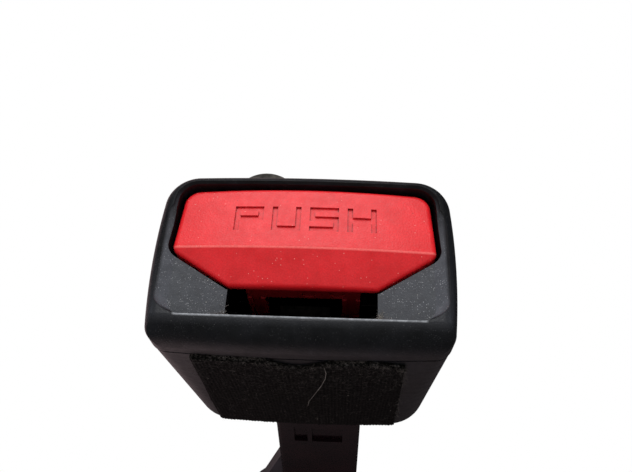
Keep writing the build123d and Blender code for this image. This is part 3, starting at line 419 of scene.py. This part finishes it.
def floor_card():
    """Card under the buckle: white to the camera; to other rays a painted reflection, pink-grey on the left
    and dark grey on the right, with a painted shadow around the buckle.
    """
    material, tree, shader, place = new_material("floor_card", 0.9, gloss=0.1)
    across = add(tree, "SeparateXYZ", links={0: place}).outputs[0]
    # Painted reflection: pink-grey on the left and dark grey on the right
    shade = mixed(tree, ramp(tree, across, -FLOOR_FADE, FLOOR_FADE), linear("#c9b1b4"), linear("#4a474a"))
    away = add(tree, "VectorMath", {"operation": "LENGTH"}, {0: flat_place(tree, place)}).outputs["Value"]
    # Painted shadow: darker within reach of the buckle
    shade = mixed(tree, ramp(tree, away, FLOOR_SHADE, 2 * FLOOR_SHADE), linear("#262324"), shade)
    tree.links.new(shade, shader.inputs["Base Color"])
    glow = add(tree, "Emission", {"Color": (1, 1, 1, 1), "Strength": 1.0})
    path = add(tree, "LightPath")
    blend = add(tree, "MixShader",
                links={0: path.outputs["Is Camera Ray"], 1: shader.outputs[0], 2: glow.outputs[0]})
    tree.links.new(blend.outputs[0], tree.nodes["Material Output"].inputs[0])
    return material


def dress_nodes():
    """Gives each CAD node its finish."""
    housing = housing_abs()
    inner = inner_acetal()
    zinc = plated_steel("zinc_plate", "#b9b7b0", "#8f8d88", 0.34, 2 * MM)
    phosphate = plated_steel("phosphate_steel", "#46413d", "#2b2826", 0.5, 3 * MM)
    wire = plated_steel("spring_wire", "#a5a29c", "#77746f", 0.3, 1.5 * MM)
    finishes = {
        "bezel_cap": housing, "front_shell": housing, "back_shell": housing, "release_button": button_abs(),
        "rear_pad": pad_rubber(), "shell_screws": zinc, "lock_bar": zinc, "latch": phosphate,
        "latch_pivot_pin": zinc, "pin_clip": wire, "latch_spring": wire, "button_springs": wire,
        "ejector": inner, "ejector_spring": wire, "spring_seat": inner, "tongue_guides": inner,
        "buckle_frame": phosphate, "frame_rivets": zinc, "anchor_strap": strap_coat(),
        "strap_sleeve": sleeve_polypropylene(), "felt_patch": knit_felt(),
    }
    for name, material in finishes.items():
        mesh = nodes[name].data
        mesh.materials.clear()
        mesh.materials.append(material)
    return finishes


def new_piece(name, mesh, material):
    """Object in the scene from a bmesh."""
    data = bpy.data.meshes.new(name)
    mesh.to_mesh(data)
    mesh.free()
    data.materials.append(material)
    piece = bpy.data.objects.new(name, data)
    bpy.context.scene.collection.objects.link(piece)
    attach(piece, "housing")
    return piece


def squashed_spring(name, material):
    """Copy of a coil spring, welded and smoothly shaded, that stands in for its hidden CAD node."""
    mesh = bmesh.new()
    mesh.from_mesh(nodes[name].data)
    bmesh.ops.remove_doubles(mesh, verts=mesh.verts, dist=0.001 * MM)
    for face in mesh.faces:
        face.smooth = True
    piece = new_piece(name + "_coils", mesh, material)
    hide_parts(name)
    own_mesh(piece)


def make_springs(finishes):
    """The button's and the ejector's springs, as smooth copies."""
    for name, joint in (("button_springs", "button_press"), ("ejector_spring", "ejector_slide")):
        squashed_spring(name, finishes[name])


def hit_finder(name, away):
    """Function that gives where a ray first meets a node, from a start point set back against it."""
    mesh = bmesh.new()
    mesh.from_mesh(nodes[name].data)
    tree = BVHTree.FromBMesh(mesh)
    mesh.free()

    def at(point):
        return tree.ray_cast(point - away * 0.1, away)[0]
    return at


def wall_finder():
    """Function that gives the outer front face of the housing at x and z."""
    hit_at = hit_finder("front_shell", Vector((0, 1, 0)))

    def at(x, z):
        hit = hit_at(Vector((x, 0, z)))
        return hit.y if hit else felt_high.y
    return at


def felt_edge_finder():
    """Function that gives the felt's worn upper edge at x, from its CAD solid."""
    hit_at = hit_finder("felt_patch", Vector((0, 0, -1)))

    def at(x):
        hits = []
        for share in (0.2, 0.35, 0.5, 0.65, 0.8):
            y = felt_low.y + share * (felt_high.y - felt_low.y)
            hit = hit_at(Vector((x, y, felt_high.z)))
            if hit:
                hits.append(hit.z)
        return max(hits) if hits else felt_high.z
    return at


def felt_surface(x, z, near_edge, wall_y):
    """Y of the knit's outer face: ribs, stitches and worn hollows, thinner at its edges."""
    spot = Vector((x, 0, z)) / (0.9 * MM)
    rib = 0.5 + 0.5 * math.cos(2 * math.pi * x / FELT_RIB + 0.5 * noise.noise(spot * 0.4))
    stitch = 0.5 + 0.5 * math.cos(2 * math.pi * z / FELT_STITCH + math.pi * round(x / FELT_RIB))
    lift = FELT_RELIEF * (0.6 * rib + 0.4 * rib * stitch + 0.6 * noise.noise(spot))
    lift -= 0.25 * MM * max(0.0, 1 - near_edge * 60)
    return wall_y - FELT_THICKNESS + FELT_RELIEF - lift


def make_felt(material):
    """Knitted felt patch that follows the front wall, with ribs, worn loops and a frayed edge."""
    wall_at = wall_finder()
    edge_at = felt_edge_finder()
    columns = round((felt_high.x - felt_low.x) / FELT_STEP_ACROSS)
    rows = round((felt_high.z - felt_low.z) / FELT_STEP_DOWN)
    mesh = bmesh.new()
    grid = []
    tops = {}
    for row in range(rows + 1):
        down = row / rows
        left = felt_low.x + FELT_INSET + FELT_FLARE * (1 - down)
        right = felt_high.x - FELT_INSET - FELT_FLARE * (1 - down)
        line = []
        for column in range(columns + 1):
            across = column / columns
            x = left + (right - left) * across
            if column not in tops:
                tops[column] = edge_at(x) + 0.12 * MM * noise.noise(Vector((x / (0.5 * MM), 0, 0)))
            z = tops[column] + (felt_low.z + FELT_INSET - tops[column]) * down
            near_edge = min(across, 1 - across, down, 1 - down)
            line.append(mesh.verts.new((x, felt_surface(x, z, near_edge, wall_at(x, z)), z)))
        grid.append(line)
    for upper, lower in zip(grid, grid[1:]):
        for column in range(columns):
            corners = (upper[column], lower[column], lower[column + 1], upper[column + 1])
            mesh.faces.new(corners).smooth = True
    rim = bmesh.ops.extrude_edge_only(mesh, edges=[e for e in mesh.edges if e.is_boundary])
    for vertex in (g for g in rim["geom"] if isinstance(g, bmesh.types.BMVert)):
        vertex.co.y = wall_at(vertex.co.x, vertex.co.z) - FELT_LIFT
    bmesh.ops.recalc_face_normals(mesh, faces=mesh.faces)
    mesh.faces.ensure_lookup_table()
    if mesh.faces[columns // 2].normal.y > 0:
        bmesh.ops.reverse_faces(mesh, faces=mesh.faces)
    piece = new_piece("felt_knit", mesh, material)
    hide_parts("felt_patch")


def add_fibre(mesh, points, width):
    """Thin three-sided fibre through some points."""
    rings = []
    for place, point in enumerate(points):
        ahead = points[min(place + 1, len(points) - 1)] - points[max(place - 1, 0)]
        side = ahead.cross(Vector((0.3, 0.5, 0.8))).normalized()
        up = ahead.cross(side).normalized()
        thin = width * (0.35 if place in (0, len(points) - 1) else 1.0)
        ring = []
        for corner in range(3):
            angle = 2 * math.pi * corner / 3
            ring.append(mesh.verts.new(point + (side * math.cos(angle) + up * math.sin(angle)) * thin / 2))
        rings.append(ring)
    for ring, following in zip(rings, rings[1:]):
        for corner in range(3):
            after = (corner + 1) % 3
            mesh.faces.new((ring[corner], ring[after], following[after], following[corner])).smooth = True
    mesh.faces.new(rings[0][::-1])
    mesh.faces.new(rings[-1])


def bent_points(start, aim, bend, length):
    """Four points of a fibre that leaves its start along aim and curls along bend."""
    return [start + aim * length * s + bend * length * 0.55 * s * s for s in (0, 0.35, 0.7, 1.0)]


def random_way(draw, x, y, z):
    """Random direction between two limits on each axis."""
    return Vector((draw.uniform(*x), draw.uniform(*y), draw.uniform(*z)))


def make_fuzz(material):
    """Loose loops over the felt, a paler fringe along its worn upper edge and frayed upper right corner."""
    draw = random.Random(7)
    wall_at = wall_finder()
    edge_at = felt_edge_finder()
    height = felt_high.z - felt_low.z
    mesh = bmesh.new()
    for _ in range(FUZZ_COUNT):
        x = draw.uniform(felt_low.x + 1.2 * MM, felt_high.x - 1.2 * MM)
        z = edge_at(x) - (height - 4 * MM) * draw.random() ** 1.8
        start = Vector((x, wall_at(x, z) - FELT_THICKNESS + 0.1 * MM, z))
        aim = random_way(draw, (-1, 1), (-0.5, -0.15), (-1, 1)).normalized()
        bend = random_way(draw, (-1, 1), (0, 0.8), (-1, 1))
        add_fibre(mesh, bent_points(start, aim, bend, draw.uniform(0.4, 1.2) * MM), FUZZ_WIDTH)
    for number in range(FRINGE_COUNT + CORNER_COUNT):
        reach = 1.0 if number < FRINGE_COUNT else 1.5
        x = draw.uniform(felt_low.x + 0.4 * MM, felt_high.x - 0.4 * MM)
        if number >= FRINGE_COUNT:
            x = felt_high.x - abs(draw.gauss(0.3, 1.4)) * MM - 0.2 * MM
        z = edge_at(x) - abs(draw.gauss(0, 0.35)) * reach * MM
        start = Vector((x, wall_at(x, z) - draw.uniform(0.3, 1.0) * FELT_THICKNESS, z))
        aim = random_way(draw, (-0.8, 0.8), (-0.4, 0), (-0.3, 0.7)).normalized()
        bend = random_way(draw, (-1, 1), (-0.5, 0), (-1, 0))
        width = FUZZ_WIDTH * draw.uniform(1.2, 2.0)
        add_fibre(mesh, bent_points(start, aim, bend, draw.uniform(0.25, 0.6) * reach * MM), width)
    new_piece("felt_fuzz", mesh, material)


def make_hairs(material):
    """Fallen hairs: one over the felt, two small ones on the rim, and lint in the slot's front corners."""
    draw = random.Random(11)
    wall_at = wall_finder()
    rim_at = hit_finder("bezel_cap", Vector((0, 0, -1)))
    mesh = bmesh.new()
    points = []
    for x, z in FELT_HAIR:
        y = wall_at(x * MM, z * MM) - FELT_THICKNESS - 0.12 * MM
        points.append(Vector((x * MM, y, z * MM)))
    add_fibre(mesh, points, FUZZ_WIDTH * 3)
    for spots in RIM_HAIRS:
        points = []
        for x, y in spots:
            hit = rim_at(Vector((x, y, 0)) * MM + Vector((0, 0, rim_high.z)))
            if hit:
                points.append(hit + Vector((0, 0, 0.1 * MM)))
        if len(points) > 1:
            add_fibre(mesh, points, FUZZ_WIDTH * 2)
    for side, corner_x in SLOT_CORNERS:
        for _ in range(CLUMP_COUNT):
            across = corner_x + draw.gauss(0, 0.7) - side * 0.3
            spot = Vector((across, SLOT_FRONT + abs(draw.gauss(0, 0.7)), 0)) * MM
            hit = rim_at(spot + Vector((0, 0, rim_high.z)))
            if hit is None or hit.z < rim_high.z - 5 * MM:
                spot.x += side * 0.8 * MM
                hit = rim_at(spot + Vector((0, 0, rim_high.z)))
            if hit:
                aim = random_way(draw, (-1, 1), (-1, 1), (0.05, 0.7)).normalized()
                bend = random_way(draw, (-1, 1), (-1, 1), (-0.8, 0))
                add_fibre(mesh, bent_points(hit, aim, bend, draw.uniform(0.3, 0.8) * MM), FUZZ_WIDTH)
    new_piece("fallen_hairs", mesh, material)


def make_floor():
    """Card under the buckle."""
    mesh = bmesh.new()
    bmesh.ops.create_grid(mesh, x_segments=1, y_segments=1, size=FLOOR_SIZE / 2)
    bmesh.ops.translate(mesh, verts=mesh.verts, vec=(0, 0, cad_box[0][2] - FLOOR_DROP))
    data = bpy.data.meshes.new("floor")
    mesh.to_mesh(data)
    mesh.free()
    data.materials.append(floor_card())
    floor = bpy.data.objects.new("floor", data)
    bpy.context.scene.collection.objects.link(floor)


def add_lamp(name, place, target, size, power):
    """Soft square lamp that points at a target."""
    data = bpy.data.lights.new(name, "AREA")
    data.size = size
    data.energy = power
    lamp = bpy.data.objects.new(name, data)
    lamp.location = place
    lamp.rotation_euler = (target - place).to_track_quat("-Z", "Y").to_euler()
    bpy.context.scene.collection.objects.link(lamp)


def make_world():
    """Room that is white to the camera, brighter overhead as light and dark in gloss."""
    world = bpy.data.worlds.new("room")
    bpy.context.scene.world = world
    world.use_nodes = True
    world.cycles.sampling_method = "NONE"
    tree = world.node_tree
    background = tree.nodes["Background"]
    background.inputs["Color"].default_value = (1, 1, 1, 1)
    path = add(tree, "LightPath")
    height = add(tree, "SeparateXYZ", links={0: add(tree, "TexCoord").outputs["Generated"]}).outputs[2]
    soft = ramp(tree, height, 0, 1, ROOM_LOW, ROOM_OVERHEAD)
    dull = ramp(tree, path.outputs["Is Glossy Ray"], 0, 1, 1.0, ROOM_GLOSS)
    light = scaled(tree, soft, dull)
    seen = add(tree, "Math", {"operation": "MAXIMUM"}, {0: path.outputs["Is Camera Ray"], 1: light})
    tree.links.new(seen.outputs[0], background.inputs["Strength"])


def make_camera():
    """Camera at the photograph's place and angle."""
    data = bpy.data.cameras.new("camera")
    data.sensor_width = SENSOR_WIDTH
    data.lens = CAMERA_LENS
    data.clip_start = 0.01
    camera = bpy.data.objects.new("camera", data)
    camera.location = CAMERA_PLACE
    camera.rotation_euler = Euler([math.radians(a) for a in CAMERA_TURN])
    bpy.context.scene.collection.objects.link(camera)
    bpy.context.scene.camera = camera


make_camera()
make_world()
make_floor()
add_lamp("key", KEY_PLACE, KEY_AIM, KEY_SIZE, KEY_POWER)
finishes = dress_nodes()
make_springs(finishes)
make_felt(finishes["felt_patch"])
make_fuzz(lint_fibre())
make_hairs(pale_hair())
bpy.context.scene.view_settings.view_transform = "Standard"
